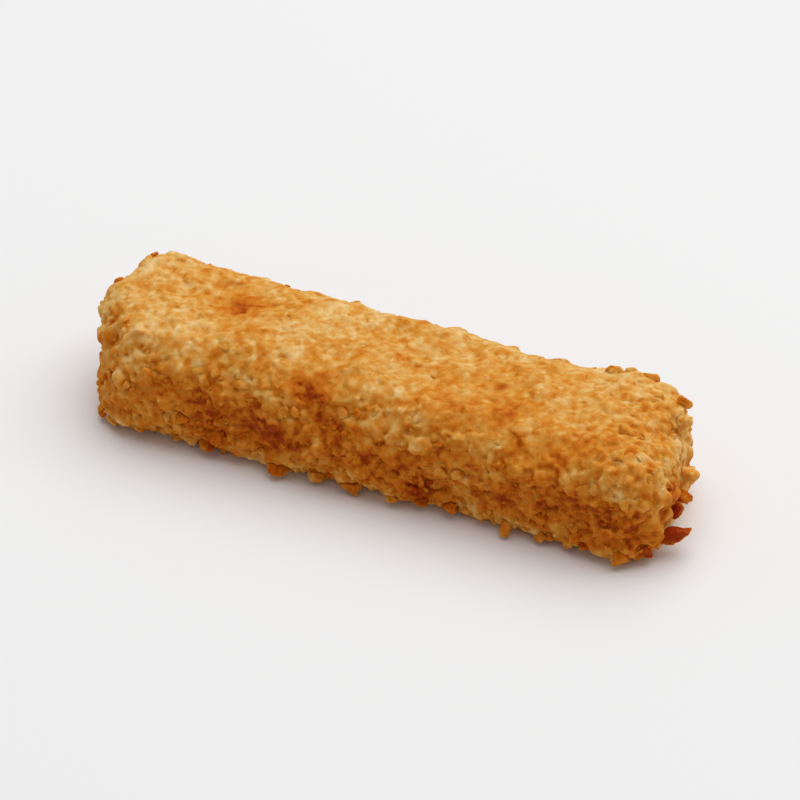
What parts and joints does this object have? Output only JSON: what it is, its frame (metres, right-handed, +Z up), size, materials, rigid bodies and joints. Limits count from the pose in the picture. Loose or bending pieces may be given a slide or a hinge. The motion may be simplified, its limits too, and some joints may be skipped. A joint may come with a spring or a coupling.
{
  "type": "fish stick",
  "caption": "Breaded fish stick: a rounded rectangular bar of fish in a golden crumb coat, lying on its flat underside.",
  "frame": {"origin": "middle of the flat underside, on the surface that the bar rests on, at the bottom centre of its box", "axes": "+X along the bar towards its blunter end, +Y across its width, +Z up"},
  "size_m": [0.085, 0.0266, 0.017],
  "materials": {
    "crumb_coat": "rough golden breadcrumb coat, slightly oily"
  },
  "bodies": {
    "root": {"fish_stick": "crumb_coat"}
  },
  "joints": []
}
